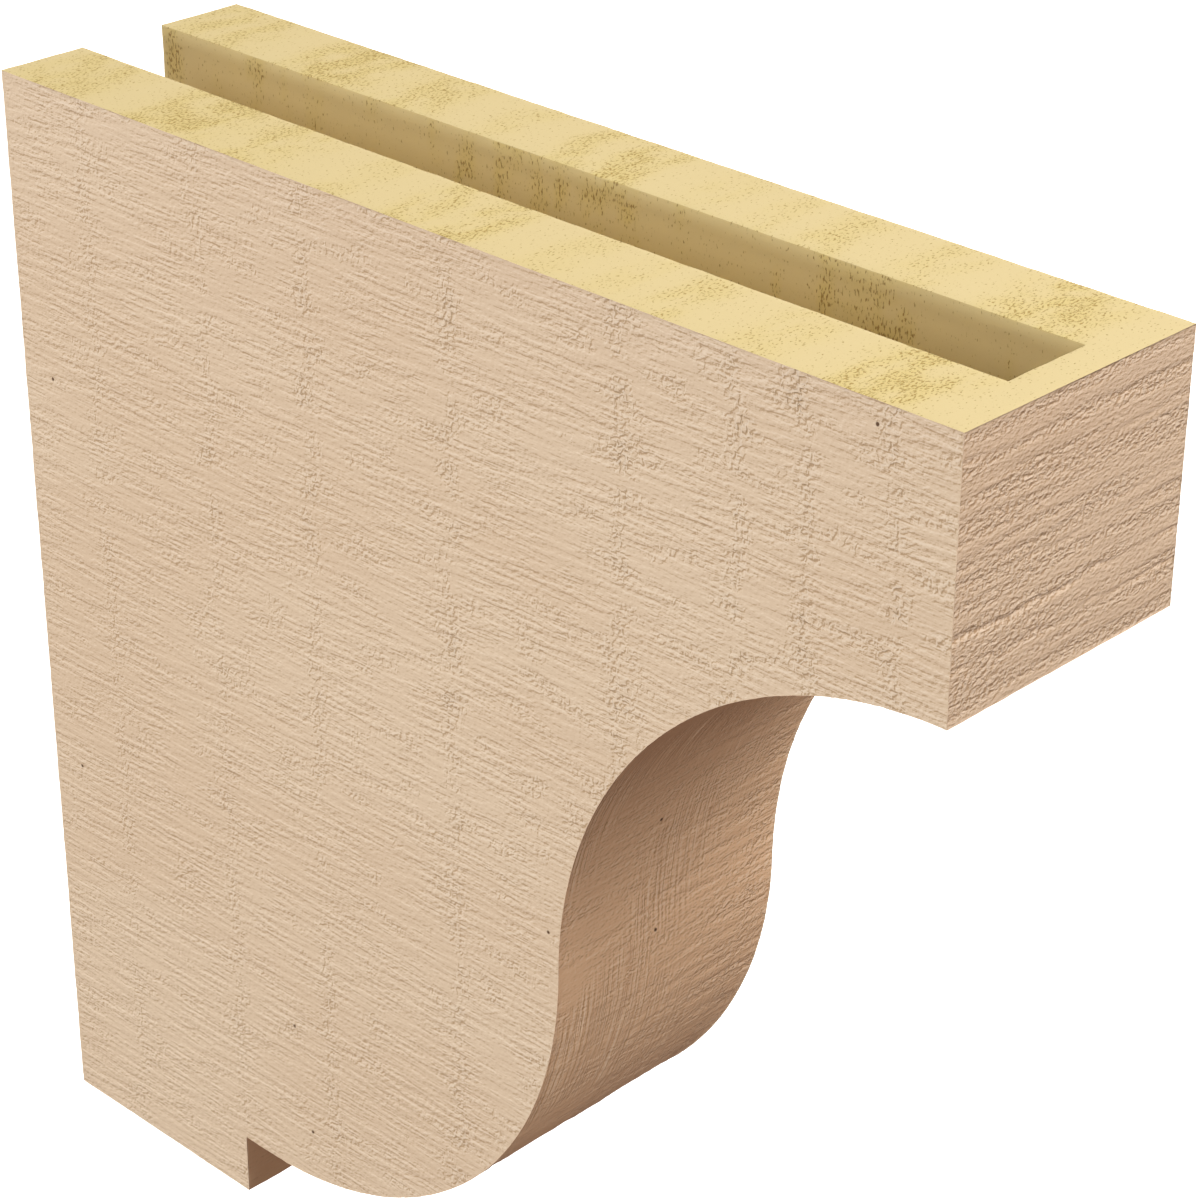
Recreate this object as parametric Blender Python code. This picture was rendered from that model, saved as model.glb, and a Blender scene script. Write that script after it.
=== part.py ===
"""A scrolled wall corbel, moulded in one piece of rigid urethane foam to look like rough-sawn timber.

Seen from the side it is a square with its lower front corner taken away: a short upright front, a
hollow quarter round (cove), a full quarter round (ovolo) and a low block against the wall. A slot
in the top, open at the back, takes the bar of a wall bracket or a cleat.

Metres, +Z up. The origin is the centre of the back face, which lies on the wall. The corbel stands
out from the wall along -Y.
"""

from math import cos, pi, sin

import bmesh
import bpy

# Driving dimensions
WIDTH = 0.1016
DEPTH = 0.4064
HEIGHT = 0.4064
FRONT_HEIGHT = 0.0880
STEP_HEIGHT = 0.0242
BLOCK_DEPTH = 0.0984
SLOT_WIDTH = WIDTH / 3
SLOT_DEPTH = WIDTH / 2
FRONT_WALL = WIDTH / 8

# The cove and the ovolo are quarter circles of one radius, and share the height that is left.
CURVE_RADIUS = (HEIGHT - FRONT_HEIGHT - STEP_HEIGHT) / 2
CURVE_STEPS = 30

TOP = HEIGHT / 2
BOTTOM = -HEIGHT / 2
CUT_PAST = 0.01

COAT_COLOUR = (0.672, 0.509, 0.371, 1.0)
FOAM_COLOUR = (0.831, 0.665, 0.337, 1.0)


def clear_scene():
    for item in list(bpy.data.objects):
        bpy.data.objects.remove(item, do_unlink=True)


def plain_material(name, colour, roughness):
    material = bpy.data.materials.new(name)
    material.use_nodes = True
    material.diffuse_color = colour
    shader = material.node_tree.nodes["Principled BSDF"]
    shader.inputs["Base Color"].default_value = colour
    shader.inputs["Roughness"].default_value = roughness
    shader.inputs["Metallic"].default_value = 0.0
    return material


def quarter_round(centre_out, centre_up, start, turn):
    """Points of a quarter circle as (distance from the wall, height), both ends included."""
    points = []
    for step in range(CURVE_STEPS + 1):
        angle = start + turn * step / CURVE_STEPS
        points.append(
            (centre_out + CURVE_RADIUS * cos(angle), centre_up + CURVE_RADIUS * sin(angle))
        )
    return points


def side_outline():
    """The side view as (distance from the wall, height), from the top of the wall round the front."""
    curve_level = BOTTOM + STEP_HEIGHT + CURVE_RADIUS
    cove = quarter_round(DEPTH, curve_level, pi / 2, pi / 2)
    ovolo = quarter_round(DEPTH - 2 * CURVE_RADIUS, curve_level, 0, -pi / 2)
    block = [(BLOCK_DEPTH, BOTTOM + STEP_HEIGHT), (BLOCK_DEPTH, BOTTOM), (0, BOTTOM)]
    return [(0, TOP), (DEPTH, TOP)] + cove + ovolo[1:] + block


def is_raw(face):
    """The shelf side and the wall side are left uncoated."""
    return face.normal.z > 0.99 or face.normal.y > 0.99


def is_curved(face):
    """Faces of the cove and the ovolo, which are neither level nor upright."""
    return abs(face.normal.x) < 0.01 and 0.01 < abs(face.normal.z) < 0.9999


def corbel_body(coat, foam):
    shape = bmesh.new()
    outline = [shape.verts.new((-WIDTH / 2, -out, up)) for out, up in side_outline()]
    side = shape.faces.new(outline)
    grown = bmesh.ops.extrude_face_region(shape, geom=[side])["geom"]
    moved = [item for item in grown if isinstance(item, bmesh.types.BMVert)]
    bmesh.ops.translate(shape, verts=moved, vec=(WIDTH, 0, 0))
    bmesh.ops.recalc_face_normals(shape, faces=shape.faces)
    for face in shape.faces:
        face.material_index = 1 if is_raw(face) else 0
        face.smooth = is_curved(face)

    mesh = bpy.data.meshes.new("corbel_body")
    shape.to_mesh(mesh)
    shape.free()
    mesh.materials.append(coat)
    mesh.materials.append(foam)
    body = bpy.data.objects.new("corbel_body", mesh)
    bpy.context.collection.objects.link(body)
    return body


def slot_cutter(foam):
    """The slot's bar-shaped space, run out past the top and the back."""
    length = DEPTH - FRONT_WALL + CUT_PAST
    tall = SLOT_DEPTH + CUT_PAST
    shape = bmesh.new()
    bmesh.ops.create_cube(shape, size=1)
    bmesh.ops.scale(shape, verts=shape.verts, vec=(SLOT_WIDTH, length, tall))
    mesh = bpy.data.meshes.new("slot_cutter")
    shape.to_mesh(mesh)
    shape.free()
    mesh.materials.append(foam)
    cutter = bpy.data.objects.new("slot_cutter", mesh)
    cutter.location = (0, CUT_PAST - length / 2, TOP + CUT_PAST - tall / 2)
    cutter.display_type = "WIRE"
    cutter.hide_render = True
    bpy.context.collection.objects.link(cutter)
    return cutter


def cut(body, cutter):
    modifier = body.modifiers.new("slot", "BOOLEAN")
    modifier.operation = "DIFFERENCE"
    modifier.solver = "EXACT"
    modifier.material_mode = "TRANSFER"
    modifier.object = cutter


clear_scene()
tan_coat = plain_material("tan_coat", COAT_COLOUR, 0.75)
raw_foam = plain_material("raw_foam", FOAM_COLOUR, 0.85)
cut(corbel_body(tan_coat, raw_foam), slot_cutter(raw_foam))
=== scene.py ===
from math import cos, pi, radians, sin

import bmesh
import bpy
import numpy as np
from mathutils import Matrix, Vector
from mathutils.geometry import delaunay_2d_cdt


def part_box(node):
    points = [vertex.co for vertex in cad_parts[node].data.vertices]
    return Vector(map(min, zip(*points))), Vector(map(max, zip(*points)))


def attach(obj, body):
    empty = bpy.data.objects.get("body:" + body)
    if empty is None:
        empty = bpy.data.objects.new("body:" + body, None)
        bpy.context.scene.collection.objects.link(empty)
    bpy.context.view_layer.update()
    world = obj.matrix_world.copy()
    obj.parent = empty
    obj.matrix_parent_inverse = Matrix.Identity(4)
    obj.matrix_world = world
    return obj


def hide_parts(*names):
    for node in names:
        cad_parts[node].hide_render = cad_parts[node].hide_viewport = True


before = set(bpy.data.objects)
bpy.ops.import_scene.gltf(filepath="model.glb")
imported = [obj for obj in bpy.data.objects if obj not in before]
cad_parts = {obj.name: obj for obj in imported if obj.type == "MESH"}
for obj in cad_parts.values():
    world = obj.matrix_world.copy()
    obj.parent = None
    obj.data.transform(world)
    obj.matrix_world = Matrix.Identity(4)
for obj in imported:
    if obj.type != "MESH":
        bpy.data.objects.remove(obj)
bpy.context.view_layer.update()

# The view
# The corbel is looked down on from its near front corner. The camera is placed from the middle of
# the top back edge: so far back along the view, so far to the right and so far below.
MM = 0.001
low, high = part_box("corbel_body")
WIDTH, DEPTH, HEIGHT = (high[axis] - low[axis] for axis in range(3))
TOP, BOTTOM = high[2], low[2]
VIEW_FROM, VIEW_DOWN, VIEW_ROLL = radians(-45.837), radians(27.546), radians(0.258)
VIEW_BACK, VIEW_RIGHT, VIEW_BELOW = 1145.2 * MM, 162.3 * MM, 191.7 * MM
SENSOR, LENS = 36.0, 101.16
CLIP_START, CLIP_END = 0.01, 50

back = Vector((sin(VIEW_FROM) * cos(VIEW_DOWN), -cos(VIEW_FROM) * cos(VIEW_DOWN), sin(VIEW_DOWN)))
right = Matrix.Rotation(VIEW_ROLL, 3, back) @ Vector((0, 0, 1)).cross(back).normalized()
up = back.cross(right)
camera = bpy.data.objects.new("view", bpy.data.cameras.new("view"))
bpy.context.collection.objects.link(camera)
camera.data.sensor_width, camera.data.lens = SENSOR, LENS
camera.data.clip_start, camera.data.clip_end = CLIP_START, CLIP_END
place = Vector((0, 0, TOP)) + VIEW_BACK * back + VIEW_RIGHT * right - VIEW_BELOW * up
camera.matrix_world = Matrix.Translation(place) @ Matrix((right, up, back)).transposed().to_4x4()
bpy.context.scene.camera = camera

# The corbel: its form
# One piece of rigid foam, cast in a mould that was taken from rough-sawn timber. Its skin is laid
# out patch by patch, closest where the saw's marks are finest, and the patches meet point for point.
FRONT_HEIGHT, STEP_HEIGHT, BLOCK_DEPTH = 88.0 * MM, 24.2 * MM, 98.4 * MM
RADIUS = (HEIGHT - FRONT_HEIGHT - STEP_HEIGHT) / 2
QUARTER = RADIUS * pi / 2
CURVE_LEVEL = BOTTOM + STEP_HEIGHT + RADIUS
UNDERSIDE = 2 * QUARTER + DEPTH - 2 * RADIUS - BLOCK_DEPTH
SIDE, SLOT_SIDE = WIDTH / 2, WIDTH / 6
SIDE_WALL = SIDE - SLOT_SIDE
SLOT_END, SLOT_FLOOR = WIDTH / 8 - DEPTH, TOP - WIDTH / 2

# How far apart the points lie: along each stretch, and in the rows and columns of the two sides.
ACROSS, INWARDS, INWARDS_IN_FRONT, UPWARDS = 2.8 * MM, 3.0 * MM, 2.4 * MM, 3.4 * MM
DOWN_FRONT, DOWN_CURVE, DOWN_STEP, DOWN_BLOCK = 0.5 * MM, 1.3 * MM, 2.0 * MM, 2.6 * MM
NEAR_ROW, NEAR_COLUMN, FAR_ROW, FAR_COLUMN = 0.85 * MM, 3.6 * MM, 1.5 * MM, 4.6 * MM
RIM = 0.6 * MM
SAME_POINT, SHARP, NEARLY_STRAIGHT = MM / 100, radians(40), 1.9

# What varies from point to point: how strong each kind of mark is, and a last mark that is 1 below
# the front, where the coat is painted warmer as shade under the overhang, and in the slot. The
# curve is smooth as far as ROUGH_FROM along the band, and roughens over ROUGH_OVER.
MARKS = ("ridges", "grit", "stops", "ledges", "streaks", "shade_and_slot")
FOAM_MARKS, SLOT_MARKS = (0.1, 0, 0, 0, 0, 0), (0.1, 0, 0, 0, 0, 1)
NEAR_STRENGTH, FAR_STRENGTH = 1.0, 0.5
ROUGH_FROM, ROUGH_OVER = 200 * MM, 70 * MM
COATED, RAW = False, True


def stations(start, stretches):
    """Numbers from start on, one stretch of (length, spacing) after another. Each stretch has a
    number close in at each end, where an arris is worn."""
    found = [start]
    for length, spacing in stretches:
        inner = abs(length) - 2 * RIM
        count = round(inner / spacing)
        steps = RIM + inner * np.arange(count + 1) / count
        found += [start + np.sign(length) * step for step in steps] + [start + length]
        start += length
    return np.array(found)


def band_place(along):
    """(y, z) on the band that wraps the front and the underside, along from the top of the front."""
    cove = along - FRONT_HEIGHT
    ovolo = cove - QUARTER
    step = cove - UNDERSIDE
    if cove <= 0:
        return -DEPTH, TOP - along
    if ovolo <= 0:
        turn = cove / RADIUS
        return -DEPTH + RADIUS * sin(turn), CURVE_LEVEL + RADIUS * cos(turn)
    if ovolo <= QUARTER:
        turn = ovolo / RADIUS
        return 2 * RADIUS - DEPTH - RADIUS * cos(turn), CURVE_LEVEL - RADIUS * sin(turn)
    if step <= 0:
        return -BLOCK_DEPTH + step, BOTTOM + STEP_HEIGHT
    if step <= STEP_HEIGHT:
        return -BLOCK_DEPTH, BOTTOM + STEP_HEIGHT - step
    return -BLOCK_DEPTH + step - STEP_HEIGHT, BOTTOM


def in_side(y, z):
    """Whether points of a side lie within its outline."""
    fall = np.sqrt(np.maximum(RADIUS**2 - (z - CURVE_LEVEL) ** 2, 0))
    front = np.where(z > CURVE_LEVEL, -DEPTH + fall, 2 * RADIUS - DEPTH - fall)
    front = np.where(z > TOP - FRONT_HEIGHT, -DEPTH, front)
    return y > np.where(z < BOTTOM + STEP_HEIGHT, -BLOCK_DEPTH, front)


across = stations(-SIDE, [(SIDE_WALL, ACROSS), (2 * SLOT_SIDE, ACROSS), (SIDE_WALL, ACROSS)])
inwards = stations(0, [(SLOT_END, INWARDS), (-DEPTH - SLOT_END, INWARDS_IN_FRONT)])
upwards = stations(BOTTOM, [(SLOT_FLOOR - BOTTOM, UPWARDS), (TOP - SLOT_FLOOR, UPWARDS)])
stretches = [(FRONT_HEIGHT, DOWN_FRONT), (UNDERSIDE, DOWN_CURVE)]
stretches += [(STEP_HEIGHT, DOWN_STEP), (BLOCK_DEPTH, DOWN_BLOCK)]
band = stations(0, stretches)
band_y, band_z = np.array([band_place(along) for along in band]).T
mouth_across = across[abs(across) < SLOT_SIDE + RIM / 2]
mouth_inwards = inwards[inwards > SLOT_END - RIM / 2]
mouth_upwards = upwards[upwards > SLOT_FLOOR - RIM / 2]
patches = []


def lay(points, faces, grain, marks, raw):
    """Keeps a patch: its points, its faces, each point's place in the grain (along the ridges,
    across them), how strong each kind of mark is there, and whether it is raw foam."""
    marks = np.broadcast_to(marks, (len(points), len(MARKS)))
    patches.append((points, faces, grain, marks, np.full(len(faces), raw)))


def lay_sheet(x, y, z, grain_along, grain_across, marks, raw, left_out=None):
    """A patch of rows and columns, which the numbers given spread to."""
    points = np.stack(np.broadcast_arrays(x, y, z), axis=-1)
    grain = np.stack(np.broadcast_arrays(grain_along, grain_across, points[..., 0])[:2], axis=-1)
    number = np.arange(points[..., 0].size).reshape(points.shape[:2])
    faces = np.stack([number[:-1, :-1], number[:-1, 1:], number[1:, 1:], number[1:, :-1]], axis=-1)
    if left_out is not None:
        faces = faces[~(left_out[:-1, :-1] & left_out[1:, 1:])]
    lay(points.reshape(-1, 3), faces.reshape(-1, 4), grain.reshape(-1, 2), marks, raw)


def lay_side(x, row, column, strength, grain_start, from_wall):
    """A side: its outline, a line of points just inside it, and rows of points within. Its grain
    runs from the wall to the front, or from the front to the wall."""
    edges = [(inwards, TOP), (band_y, band_z), (0, upwards)]
    outline = np.concatenate([np.stack(np.broadcast_arrays(*edge), axis=-1)[:-1] for edge in edges])
    ahead = np.roll(outline, -1, axis=0) - outline
    ahead /= np.linalg.norm(ahead, axis=1)[:, None]
    both = ahead + np.roll(ahead, 1, axis=0)
    bend = np.linalg.norm(both, axis=1)[:, None]
    inner = (outline + RIM * both[:, ::-1] * (-1, 1) / bend)[bend[:, 0] > NEARLY_STRAIGHT]
    inner = np.unique(np.round(inner, 5), axis=0)
    grid = np.meshgrid(np.arange(-column / 2, -DEPTH, -column), np.arange(BOTTOM + row / 2, TOP, row))
    within = np.stack(grid, axis=-1).reshape(-1, 2)
    within = within[in_side(*within.T)]
    nearest = np.array([np.hypot(*(outline - point).T).min() for point in within])
    every = np.concatenate([outline, inner, within[nearest > RIM + row / 2]]) / MM
    every = [Vector(point) for point in every]
    found = delaunay_2d_cdt(every, [], [list(range(len(outline)))], 1, 1e-6, False)
    flat, faces = np.array(found[0]) * MM, np.array(found[2])
    faces = faces[in_side(*flat[faces].mean(axis=1).T)]
    along = -flat[:, 0] if from_wall else DEPTH + flat[:, 0]
    grain = np.column_stack([along + grain_start, flat[:, 1]])
    same = np.ones(len(flat)) * strength
    marks = [same, same, same * (0.5 + 0.5 * along / DEPTH), 0 * same, 0 * same, 0 * same]
    marks = np.column_stack(marks)
    lay(np.column_stack([np.full(len(flat), x), flat]), faces, grain, marks, COATED)


# The grain of each patch starts a whole number of metres along, so that no two look alike.
lay_side(-SIDE, NEAR_ROW, NEAR_COLUMN, NEAR_STRENGTH, grain_start=1, from_wall=True)
lay_side(SIDE, FAR_ROW, FAR_COLUMN, FAR_STRENGTH, grain_start=2, from_wall=False)

# The front is end grain. The cove starts smooth, and the curve roughens on its way down, more on
# the far side, where end grain comes through.
far, down = np.meshgrid(across / WIDTH + 0.5, band)
front, curve = down <= FRONT_HEIGHT, (down > FRONT_HEIGHT) & (down < FRONT_HEIGHT + UNDERSIDE)
opened = np.clip((down - ROUGH_FROM) / ROUGH_OVER, 0, 1)
ridged = np.where(front, 0.12, np.where(curve, 0.5 + 0.6 * far * opened, 0.4))
gritty = np.where(front, 2.15, np.where(curve, 0.3 + (0.5 + 0.7 * far) * opened, 0.4))
stopped = 0.6 * curve * opened
ledged = front + 0.8 * curve * far
streaked = curve * (1 - 0.7 * far) * opened
# Below the front the coat is tinted warmer: painted warm shade, for the light under the overhang.
shade_and_slot_share = (down > FRONT_HEIGHT) + 0 * far
marks = np.stack([ridged, gritty, stopped, ledged, streaked, shade_and_slot_share], axis=-1).reshape(-1, len(MARKS))
lay_sheet(across, band_y[:, None], band_z[:, None], across + 3, -band[:, None], marks, COATED)

over_slot = abs(across) < SLOT_SIDE + RIM / 2
mouth = over_slot & (inwards[:, None] > SLOT_END - RIM / 2)
gap = over_slot & (upwards[:, None] > SLOT_FLOOR - RIM / 2)
y, z, slot_y, slot_z = (numbers[:, None] for numbers in (inwards, upwards, mouth_inwards, mouth_upwards))
lay_sheet(across, y, TOP, across + 4, y, FOAM_MARKS, RAW, mouth)
lay_sheet(across, 0, z, across + 5, z, FOAM_MARKS, RAW, gap)
for x in (-SLOT_SIDE, SLOT_SIDE):
    lay_sheet(x, mouth_inwards, slot_z, slot_z + 6, mouth_inwards, SLOT_MARKS, RAW)
lay_sheet(mouth_across, slot_y, SLOT_FLOOR, mouth_across + 7, slot_y, SLOT_MARKS, RAW)
lay_sheet(mouth_across, SLOT_END, slot_z, mouth_across + 8, slot_z, SLOT_MARKS, RAW)

starts = np.cumsum([0] + [len(patch[0]) for patch in patches])
faces = [face for patch, start in zip(patches, starts) for face in (patch[1] + start).tolist()]
points, grain, marks = (np.concatenate([patch[part] for patch in patches]) for part in (0, 2, 3))
raw = np.concatenate([patch[4] for patch in patches])
mesh = bpy.data.meshes.new("corbel")
mesh.from_pydata(points.tolist(), [], faces)
grain_corners = grain[np.concatenate(faces)].astype(np.float32)
mesh.uv_layers.new(name="grain").data.foreach_set("uv", grain_corners.ravel())
mesh.attributes.new("raw", "BOOLEAN", "FACE").data.foreach_set("value", raw)
for name, values in zip(("arris", *MARKS), (0 * marks[:, 0], *marks.T)):
    mesh.attributes.new(name, "FLOAT", "POINT").data.foreach_set("value", values.astype(np.float32))

# The patches are joined. Along an arris only its own wear is left of the marks.
shape = bmesh.new()
shape.from_mesh(mesh)
bmesh.ops.remove_doubles(shape, verts=shape.verts, dist=SAME_POINT)
unused = [vert for vert in shape.verts if not vert.link_faces]
bmesh.ops.delete(shape, geom=unused, context="VERTS")
bmesh.ops.recalc_face_normals(shape, faces=shape.faces)
arris, *strengths = (shape.verts.layers.float[name] for name in ("arris", *MARKS))
for edge in shape.edges:
    if edge.calc_face_angle() > SHARP:
        for vert in edge.verts:
            vert[arris] = 1
            for strength in strengths:
                vert[strength] = 0
shape.to_mesh(mesh)
shape.free()


# The corbel: its saw marks
# The relief of the timber that it was cast from: fine ridges along the grain, chains of chips torn
# where the saw halted, ledges on the end grain, and worn arrises. All of it is cut into the form.
class Wire:
    """A node's output. Arithmetic on wires and numbers adds the Math nodes for it."""

    def __init__(self, tree, socket=None):
        self.tree, self.socket = tree, socket

    def node(self, kind, sockets=None, output=0, **settings):
        """Adds a node: its settings first, then the values or the wires of its sockets."""
        made = self.tree.nodes.new(kind)
        for name, value in settings.items():
            setattr(made, name, value)
        for name, value in (sockets or {}).items():
            if isinstance(value, Wire):
                self.tree.links.new(value.socket, made.inputs[name])
            else:
                made.inputs[name].default_value = value
        return Wire(self.tree, made.outputs[output] if made.outputs else None)

    def output(self, name):
        """Another output of the same node."""
        return Wire(self.tree, self.socket.node.outputs[name])

    def maths(self, operation, *others):
        return self.node("ShaderNodeMath", dict(enumerate((self, *others))), operation=operation)

    def __add__(self, other):
        return self.maths("ADD", other)

    def __sub__(self, other):
        return self.maths("SUBTRACT", other)

    def __mul__(self, other):
        return self.maths("MULTIPLY", other)

    def __rsub__(self, other):
        return self.node("ShaderNodeMath", {0: other, 1: self}, operation="SUBTRACT")

    def ramp(self, start, end):
        """0 up to start and 1 from end on, with a soft climb between. start may be the larger."""
        sockets = {"Value": self, "From Min": start, "From Max": end}
        return self.node("ShaderNodeMapRange", sockets, interpolation_type="SMOOTHSTEP")

    def vector(self, operation, **sockets):
        """Vector Math on this vector. Its other sockets are other, a vector, and scale, a number."""
        names = {"other": 1, "scale": "Scale"}
        sockets = {names[name]: value for name, value in sockets.items()}
        return self.node("ShaderNodeVectorMath", {0: self, **sockets}, operation=operation)

    def spots(self, *size, draw=0, detail=2.0, wander=0.0):
        """Noise, mostly 0.3 to 0.7, in spots of such a size. Each draw gives other spots."""
        sizes = self.node("ShaderNodeCombineXYZ", dict(enumerate(size)))
        place = self.vector("DIVIDE", other=sizes).vector("ADD", other=(draw, draw, 0))
        sockets = {"Vector": place, "Scale": 1, "Detail": detail, "Distortion": wander}
        return self.node("ShaderNodeTexNoise", sockets, noise_dimensions=f"{len(size)}D")

    def mix(self, first, second):
        """A colour between two, this wire of the way along."""
        return self.node("ShaderNodeMix", {0: self, 6: first, 7: second}, output=2, data_type="RGBA")


SAW = {
    "Ridge length": 20.0 * MM,
    "Ridge spacing": 2.0 * MM,
    "Ridge depth": 0.38 * MM,
    "Swell depth": 0.06 * MM,
    "Chip length": 2.0 * MM,
    "Chip height": 1.8 * MM,
    "Chip depth": 0.10 * MM,
    "Ledge depth": 0.60 * MM,
    "Streak spacing": 1.3 * MM,
    "Streak depth": 0.70 * MM,
    "Arris wear": 0.40 * MM,
}
STREAK_LENGTH = 35 * MM

# EVEN spreads a noise over 0 to 1, and MEAN is then its mean.
EVEN, MEAN = (0.36, 0.64), 0.5

# Where the saw halted, in millimetres from the wall, how far to each side it tore the grain, and
# how far a halt strays. FAR_OFF is further than that from all of them.
STOPS = (40, 99, 148, 213, 283, 328, 353, 385)
STOP_WIDTH, STOP_SWAY, FAR_OFF = 5.0, 14, 100

# The ledges of the end grain: how strong each is, by its height from the top of the front in
# millimetres. Over that height a lip and a groove climb (LIP, GROOVE) and fall again (the ENDs).
LEDGES = {-9.5: 0.4, -20: 0.35, -41: 0.35, -46: 0.4, -61: 1.0, -71: 0.7, -265: 0.6, -294: 0.5, -351: 0.4}
LIP, LIP_END, GROOVE, GROOVE_END = (-0.4, 0.6), (3.5, 0.6), (-3.0, -0.8), (0, -0.7)
LIP_SHARE, LEDGE_SWAY = 0.25, 9

# The foam's pitted layers: half their width and how full of pits they are, by their middle's
# distance from the wall in millimetres. In the slot they are narrower, and densest at DENSEST.
LAYERS = {
    22: (28, 0.75),
    79: (28, 1.0),
    119: (22, 0.75),
    160: (11, 0.45),
    192: (13, 0.75),
    213: (14, 1.0),
    249: (12, 0.4),
    273: (9, 0.4),
    296: (12, 0.65),
    332: (15, 0.5),
    375: (25, 1.0),
}
LAYER_CORE, LAYER_SWAY = 0.3, 24
DENSEST, DENSE_WIDTH, DENSE_CORE, DENSE_SHARE = 315, 26, 4, 0.6


def fine_cuts(grain, shares, size):
    """How deep the ridges, the chips and the streaks are cut, in metres, by their shares. It is
    less than nothing for what stands proud of the mean."""
    ridge = MEAN - grain.spots(size["Ridge length"], size["Ridge spacing"], draw=1).ramp(*EVEN)
    chip = grain.spots(size["Chip length"], size["Chip height"], draw=9, detail=1, wander=0.4)
    streak = MEAN - grain.spots(size["Streak spacing"], STREAK_LENGTH, draw=13).ramp(*EVEN)
    found = shares["ridged"] * ridge * size["Ridge depth"]
    found = found + shares["torn"] * chip.ramp(0.4, 0.62) * size["Chip depth"]
    return found + shares["streaked"] * streak * size["Streak depth"]


def torn_share(grain, stops, rows):
    """Where chips are torn: in broken chains where the saw halted, in rows over the end grain, and
    in a few places more."""
    sway = (grain.spots(1, 20 * MM, draw=5, detail=1) - 0.5) * STOP_SWAY
    out = grain.node("ShaderNodeSeparateXYZ", {0: grain}).maths("FRACT") * (1 / MM) + sway
    gap = FAR_OFF
    for place in STOPS:
        gap = (out - place).maths("ABSOLUTE").maths("MINIMUM", gap)
    broken = grain.spots(30 * MM, 9 * MM, draw=6, detail=0).ramp(0.28, 0.45)
    more = grain.spots(20 * MM, 9 * MM, draw=7, detail=1).ramp(0.54, 0.7)
    return gap.ramp(STOP_WIDTH, 1) * broken * stops + more * stops * 0.7 + rows * 0.7


def end_ledges(grain):
    """The ledges that cross the end grain, each a low lip over a groove, which is down to -1."""
    sway = (grain.spots(26 * MM, 1, draw=11) - 0.5) * LEDGE_SWAY
    height = grain.node("ShaderNodeSeparateXYZ", {0: grain}, output="Y") * (1 / MM) + sway
    found = 0
    for place, strength in LEDGES.items():
        above = height - place
        lip = above.ramp(*LIP) * above.ramp(*LIP_END) * LIP_SHARE
        groove = above.ramp(*GROOVE) * above.ramp(*GROOVE_END)
        found = (lip - groove) * strength + found
    return found * grain.spots(14 * MM, 5 * MM, draw=12, detail=1).ramp(0.25, 0.65)


def pitted_share(place, in_slot):
    """How full of pits the foam is, by its layers' distance from the wall. The slot cuts through
    them lower down, where they are narrower."""
    sway = (place.spots(40 * MM, 1, 26 * MM, draw=2) - 0.5) * LAYER_SWAY
    out = sway - place.node("ShaderNodeSeparateXYZ", {0: place}, output="Y") * (1 / MM)
    share = 0
    for centre, (half_width, fullness) in LAYERS.items():
        layer = (out - centre).maths("ABSOLUTE").ramp(half_width, half_width * LAYER_CORE)
        share = (layer * fullness).maths("MAXIMUM", share)
    share = share * (place.spots(16 * MM, 8 * MM, 20 * MM).ramp(0.34, 0.6) * 0.8 + 0.2)
    dense = (out - DENSEST).maths("ABSOLUTE").ramp(DENSE_WIDTH, DENSE_CORE) * DENSE_SHARE
    narrow = place.spots(40 * MM, 9 * MM, 60 * MM, draw=8, detail=1).ramp(0.48, 0.7)
    clusters = place.spots(12 * MM, 8 * MM, 8 * MM, draw=10).ramp(0.3, 0.6)
    return share * (1 - in_slot) + narrow.maths("MAXIMUM", dense) * in_slot * clusters


finishes = {"Coat": bpy.data.materials.new("tan_coat"), "Foam": bpy.data.materials.new("raw_foam")}
tree = bpy.data.node_groups.new("rough_sawn", "GeometryNodeTree")
tree.interface.new_socket("Geometry", in_out="INPUT", socket_type="NodeSocketGeometry")
tree.interface.new_socket("Geometry", in_out="OUTPUT", socket_type="NodeSocketGeometry")
given = {}
for name in SAW:
    given[name] = tree.interface.new_socket(name, in_out="INPUT", socket_type="NodeSocketFloat")
for name in finishes:
    given[name] = tree.interface.new_socket(name, in_out="INPUT", socket_type="NodeSocketMaterial")

start = Wire(tree).node("NodeGroupInput")
kinds = {"arris": "FLOAT", "grain": "FLOAT_VECTOR", "raw": "BOOLEAN"} | {name: "FLOAT" for name in MARKS}
kept = {
    name: start.node("GeometryNodeInputNamedAttribute", {"Name": name}, data_type=kind)
    for name, kind in kinds.items()
}
size = {name: start.output(name) for name in SAW}
grain = kept["grain"]
place = start.node("GeometryNodeInputPosition")

# The sides are rough in patches and the end grain in rows. Streaks come in broad places.
patchy = grain.spots(26 * MM, 12 * MM, draw=3, detail=1).ramp(0.3, 0.65) * 0.5 + 0.5
rows = grain.spots(60 * MM, 4.5 * MM, draw=4, detail=1).ramp(0.35, 0.65) * kept["ledges"]
rough = patchy * (1 - kept["ledges"]) + rows * 0.5 + kept["ledges"] * 0.5
drawn = grain.spots(50 * MM, 70 * MM, draw=17, detail=0).ramp(0.3, 0.55)
shares = {
    "ridged": kept["ridges"] * rough,
    "gritted": kept["grit"] * rough,
    "torn": torn_share(grain, kept["stops"], rows) * kept["grit"].ramp(0, 0.1),
    "streaked": kept["streaks"] * drawn,
    "pitted": pitted_share(place, kept["shade_and_slot"] * kept["raw"]),
    "shade_and_slot_share": kept["shade_and_slot"],
}

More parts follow.
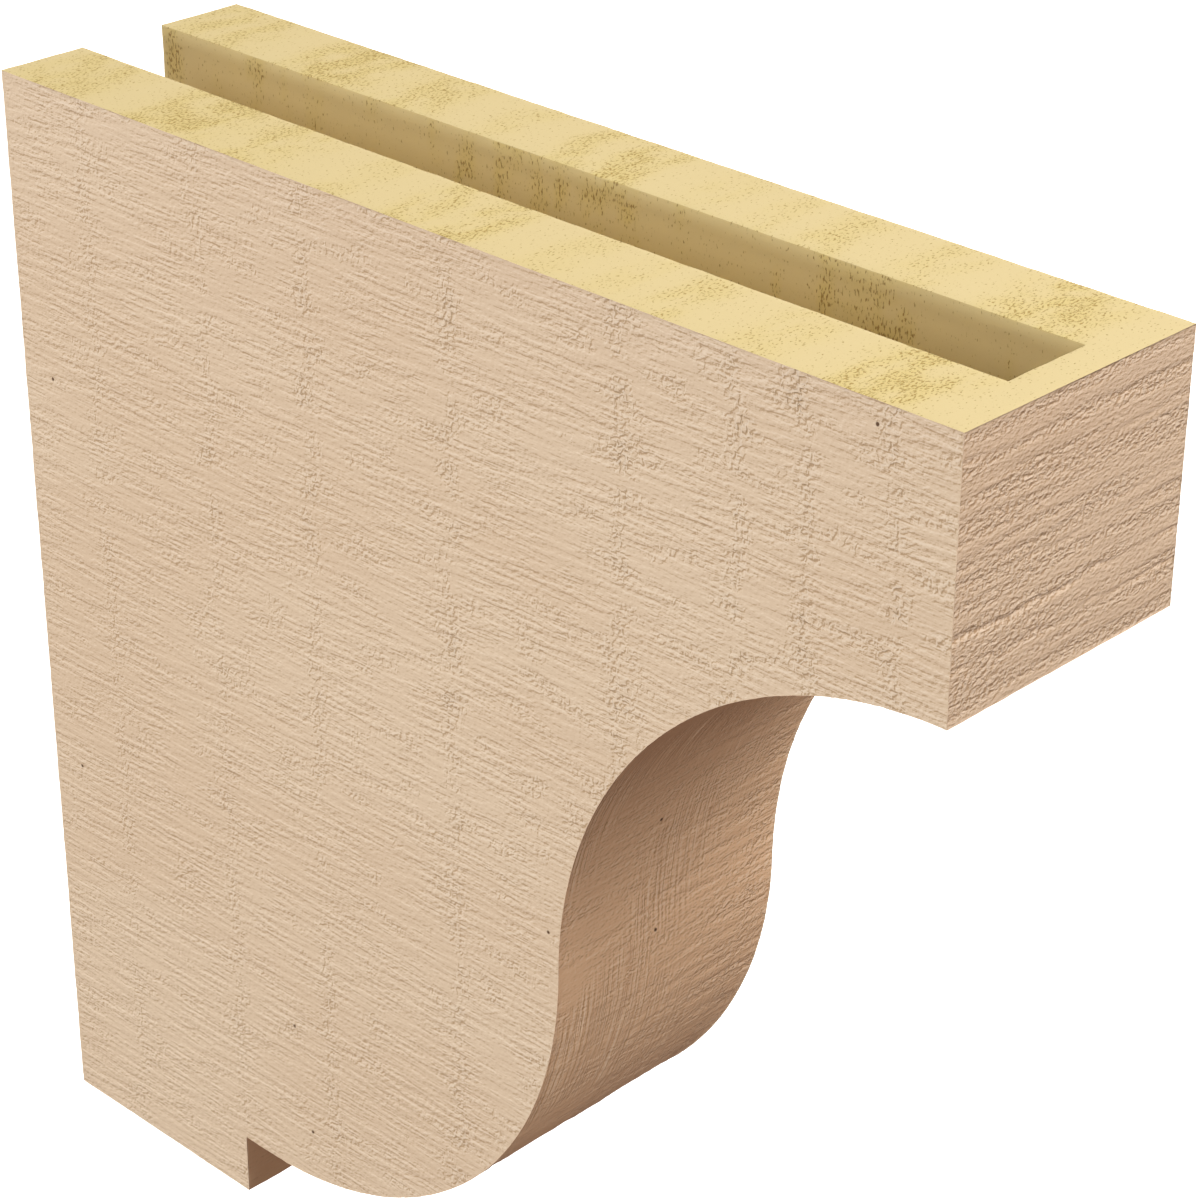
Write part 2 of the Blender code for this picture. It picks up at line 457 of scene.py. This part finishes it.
# Each relief is sunk by as much as it would stand proud, so that all of it stays within the form.
cut = fine_cuts(grain, shares, size)
cut = cut + kept["ledges"] * (LIP_SHARE - end_ledges(grain)) * size["Ledge depth"]
cut = cut + kept["ridges"] * MEAN * size["Ridge depth"] + kept["streaks"] * MEAN * size["Streak depth"]
swells = kept["ridges"] * grain.spots(80 * MM, 15 * MM, draw=15, detail=1)
swells = swells + kept["ledges"] * (grain.spots(80 * MM, 5 * MM, draw=16, detail=1) - 0.3) * 5
cut = cut + swells * size["Swell depth"]
cut = cut + kept["arris"] * grain.spots(9 * MM, 9 * MM, draw=19) * size["Arris wear"]
inward = start.node("GeometryNodeInputNormal").vector("SCALE", scale=cut.maths("MAXIMUM", 0) * -1)
corbel_mesh = start.node("GeometryNodeSetPosition", {"Geometry": start, "Offset": inward})
for name, share in shares.items():
    sockets = {"Geometry": corbel_mesh, "Name": name, "Value": share}
    corbel_mesh = start.node("GeometryNodeStoreNamedAttribute", sockets, data_type="FLOAT", domain="POINT")
corbel_mesh = start.node("GeometryNodeRealizeInstances", {"Geometry": corbel_mesh})
sockets = {"Geometry": corbel_mesh, "Material": start.output("Coat")}
corbel_mesh = start.node("GeometryNodeSetMaterial", sockets)
sockets = {"Geometry": corbel_mesh, "Selection": kept["raw"], "Material": start.output("Foam")}
start.node("NodeGroupOutput", {0: start.node("GeometryNodeSetMaterial", sockets)})

corbel = bpy.data.objects.new("corbel", mesh)
bpy.context.collection.objects.link(corbel)
saw = corbel.modifiers.new("rough_sawn", "NODES")
saw.node_group = tree
for name, value in (SAW | finishes).items():
    saw[given[name].identifier] = value
sawn = bpy.data.meshes.new_from_object(corbel.evaluated_get(bpy.context.evaluated_depsgraph_get()))
corbel.modifiers.remove(saw)
corbel.data = sawn
for name in ("raw", "arris", *MARKS):
    sawn.attributes.remove(sawn.attributes[name])
sawn.shade_smooth()
sawn.set_sharp_from_angle(angle=SHARP)

# The corbel: its coat
# A dry tan primer, brushed into the mould before the foam. Each mark is painted paler on the flank
# that faces up and one way along the grain, as painted light, and brown on the other, as painted
# shade. Under the overhang it is painted warmer, as warm shade, and its few pin holes are dots of
# painted shade.
COAT_PALE, COAT_WARM = (0.695, 0.520, 0.365, 1), (0.672, 0.492, 0.340, 1)
# The next line's first colour is painted warm shade, for the coat under the overhang.
COAT_UNDERSIDE_SHADE, PINHOLE_SHADE = (0.800, 0.530, 0.325, 1), (0.12, 0.06, 0.03, 1)
# Painted light and painted shade for the two flanks of each mark, how much of each is laid on, and the
# step, up and one way along the grain, towards where the painted light comes from.
COAT_PAINTED_LIGHT, COAT_PAINTED_SHADE = (0.83, 0.68, 0.54, 1), (0.38, 0.215, 0.095, 1)
PAINTED_LIGHT_SHARE, PAINTED_SHADE_SHARE = 0.45, 0.6
TOWARD_PAINTED_LIGHT, PAINTED_LIGHT_STEP = (-0.25 * MM, 0.25 * MM, 0), 0.35 * MM
LEVEL, STEEP = 0.05, 0.6
GRIT_LENGTH, GRIT_HEIGHT, GRIT_DEPTH = 1.95 * MM, 1.08 * MM, 1.0 * MM
CHIP_DEPTH, SHOWN = 0.9 * MM, 0.25
COAT_ROUGH, LIT_FLANK_SMOOTHER, SPECULAR = 0.8, 0.1, 0.3

# The pin holes' spacing and edge are in millimetres, and one cell in five has a hole. The holes
# have no depth: each is a dot of painted shade.
PINHOLE_SPACING, PINHOLE_EDGE, HAS_PINHOLE = 60, (0.8, 0.45), (0.8, 0.81)


def read(wire, *names):
    """What the mesh keeps for its finish, by name."""
    return {name: wire.node("ShaderNodeAttribute", output="Fac", attribute_name=name) for name in names}


def coat_relief(grain, shares):
    """How deep the coat's own relief is cut, in metres: the fine saw marks, and grit over them."""
    grit = grain.spots(GRIT_LENGTH, GRIT_HEIGHT, draw=23, detail=2.5)
    marks = fine_cuts(grain, shares, SAW | {"Chip depth": CHIP_DEPTH})
    return marks + shares["gritted"] * grit * GRIT_DEPTH


def finish(colour, roughness, cut):
    """The shader, with a relief cut so deep, in metres."""
    bump = colour.node("ShaderNodeBump", {"Height": cut * -1, "Distance": 1})
    sockets = {"Base Color": colour, "Roughness": roughness, "Normal": bump, "Specular IOR Level": SPECULAR}
    shader = colour.node("ShaderNodeBsdfPrincipled", sockets)
    shader.node("ShaderNodeOutputMaterial", {"Surface": shader})


for material in finishes.values():
    material.use_nodes = True
    material.node_tree.nodes.clear()
coat = Wire(finishes["Coat"].node_tree)
grain = coat.node("ShaderNodeUVMap", uv_map="grain")
shares = read(coat, "ridged", "gritted", "torn", "streaked", "shade_and_slot_share")
cells = {"Vector": grain, "Scale": 1 / MM / PINHOLE_SPACING}
cell = grain.node("ShaderNodeTexVoronoi", cells, voronoi_dimensions="2D")
some = grain.node("ShaderNodeSeparateXYZ", {0: cell.output("Color")}).ramp(*HAS_PINHOLE)
pinholes = (cell * PINHOLE_SPACING).ramp(*PINHOLE_EDGE) * some
cut = coat_relief(grain, shares)
# slope is above nothing where the relief faces the painted light, and below it where it is turned away.
slope = (coat_relief(grain.vector("ADD", other=TOWARD_PAINTED_LIGHT), shares) - cut) * (1 / PAINTED_LIGHT_STEP)
tone = grain.spots(140 * MM, 60 * MM, draw=25).ramp(0.3, 0.7).mix(COAT_PALE, COAT_WARM)
# Below the front the coat takes the colour of painted warm shade under the overhang.
tone = shares["shade_and_slot_share"].mix(tone, COAT_UNDERSIDE_SHADE)
# Painted light on the flanks that face it, painted shade on the flanks turned away.
tone = (slope.ramp(0, STEEP) * PAINTED_LIGHT_SHARE).mix(tone, COAT_PAINTED_LIGHT)
tone = (slope.ramp(-LEVEL, -STEEP) * PAINTED_SHADE_SHARE).mix(tone, COAT_PAINTED_SHADE)
# The pin holes are painted dark, as the shade inside a hole.
tone = pinholes.mix(tone, PINHOLE_SHADE)
finish(tone, COAT_ROUGH - slope.ramp(-STEEP, STEEP) * LIT_FLANK_SMOOTHER, cut * SHOWN)

# The corbel: its raw foam
# The foam itself, cream to yellow, left bare on the shelf side, the wall side and in the slot.
# It rose in layers from the wall outwards: smooth ones, and ones full of fine ochre pits.
FOAM_CREAM, FOAM_YELLOW = (0.71, 0.57, 0.29, 1), (0.69, 0.54, 0.19, 1)
FOAM_PIT, FOAM_SLOT_PIT = (0.34, 0.19, 0.02, 1), (0.26, 0.13, 0.03, 1)
PIT_SIZE, PIT_EDGE, PIT_DEPTH = (1.3 * MM, 0.7 * MM, 1.8 * MM), (0.64, 0.74), 0.12 * MM
FOAM_GRIT, FOAM_GRIT_DEPTH = (0.9 * MM, 0.9 * MM, 0.9 * MM), 0.03 * MM
MORE_PITS, YELLOW_SHARE, PIT_SHARE = 0.15, 0.6, 0.7
FOAM_SMOOTH, FOAM_ROUGHER = 0.75, 0.2

foam = Wire(finishes["Foam"].node_tree)
place = foam.node("ShaderNodeTexCoord", output="Object")
shares = read(foam, "pitted", "shade_and_slot_share")
pits = (place.spots(*PIT_SIZE) + shares["pitted"] * MORE_PITS).ramp(*PIT_EDGE)
grit = place.spots(*FOAM_GRIT, detail=1)
tone = (shares["pitted"] * YELLOW_SHARE).mix(FOAM_CREAM, FOAM_YELLOW)
# Here the last mark only picks out the slot, where the pits are darker.
tone = (pits * PIT_SHARE).mix(tone, shares["shade_and_slot_share"].mix(FOAM_PIT, FOAM_SLOT_PIT))
finish(tone, grit * FOAM_ROUGHER + FOAM_SMOOTH, pits * PIT_DEPTH + grit * FOAM_GRIT_DEPTH)

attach(corbel, "root")
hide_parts("corbel_body")

# The studio
# A dim, warm room, which the camera sees as plain white. Six large soft lamps stand on the left,
# in front, on the right and behind, white but for a little blue in the left one. The floor is
# pale and lies well below.
ZENITH, HORIZON, GROUND = (0.10, 0.11, 0.11, 1), (0.26, 0.19, 0.15, 1), (0.18, 0.12, 0.10, 1)
WHITE, HORIZON_EDGE = (1, 1, 1, 1), 0.1
LAMP_SIZE = 1.2
LAMPS = {
    "left_lamp": ((-2.5, -0.4, 0.0), 41, (0.87, 0.97, 1.0)),
    "left_rear_lamp": ((-2.0, 1.0, 1.4), 28, (1.0, 1.0, 1.0)),
    "front_lamp": ((0.5, -2.2, 1.6), 39.5, (1.0, 0.995, 0.98)),
    "front_top_lamp": ((0.2, -1.4, 2.4), 26, (1.0, 1.0, 1.0)),
    "right_lamp": ((2.4, 0.6, 0.9), 28, (1.0, 1.0, 1.0)),
    "rear_lamp": ((0.4, 2.6, 0.6), 22, (1.0, 1.0, 1.0)),
}
FLOOR_DROP, FLOOR_SIZE = 0.35, 12
FLOOR_PAINT = {
    "Base Color": (0.9, 0.9, 0.9, 1),
    "Roughness": 0.9,
    "Emission Color": WHITE,
    "Emission Strength": 1.0,
}

world = bpy.data.worlds.new("studio")
world.use_nodes = True
world.node_tree.nodes.clear()
bpy.context.scene.world = world
aim = Wire(world.node_tree).node("ShaderNodeTexCoord", output="Generated")
height = aim.node("ShaderNodeSeparateXYZ", {0: aim}, output="Z")
lit = height.ramp(-HORIZON_EDGE, HORIZON_EDGE).mix(GROUND, height.mix(HORIZON, ZENITH))
seen = lit.node("ShaderNodeLightPath", output="Is Camera Ray").mix(lit, WHITE)
room = seen.node("ShaderNodeBackground", {"Color": seen})
room.node("ShaderNodeOutputWorld", {"Surface": room})

for name, (spot, power, colour) in LAMPS.items():
    lamp = bpy.data.objects.new(name, bpy.data.lights.new(name, "AREA"))
    lamp.data.size, lamp.data.energy, lamp.data.color = LAMP_SIZE, power, colour
    lamp.location = spot
    lamp.rotation_euler = Vector(spot).to_track_quat("Z", "Y").to_euler()
    bpy.context.collection.objects.link(lamp)

reach, level = FLOOR_SIZE / 2, BOTTOM - FLOOR_DROP
floor_mesh = bpy.data.meshes.new("floor")
around = [(x * reach, y * reach, level) for x, y in ((-1, -1), (1, -1), (1, 1), (-1, 1))]
floor_mesh.from_pydata(around, [], [(0, 1, 2, 3)])
floor = bpy.data.objects.new("floor", floor_mesh)
bpy.context.collection.objects.link(floor)
floor.visible_diffuse = floor.visible_glossy = floor.visible_shadow = False
paint = bpy.data.materials.new("pale_floor")
paint.use_nodes = True
shader = paint.node_tree.nodes["Principled BSDF"]
for name, value in FLOOR_PAINT.items():
    shader.inputs[name].default_value = value
floor_mesh.materials.append(paint)
bpy.context.scene.view_settings.view_transform = "Standard"
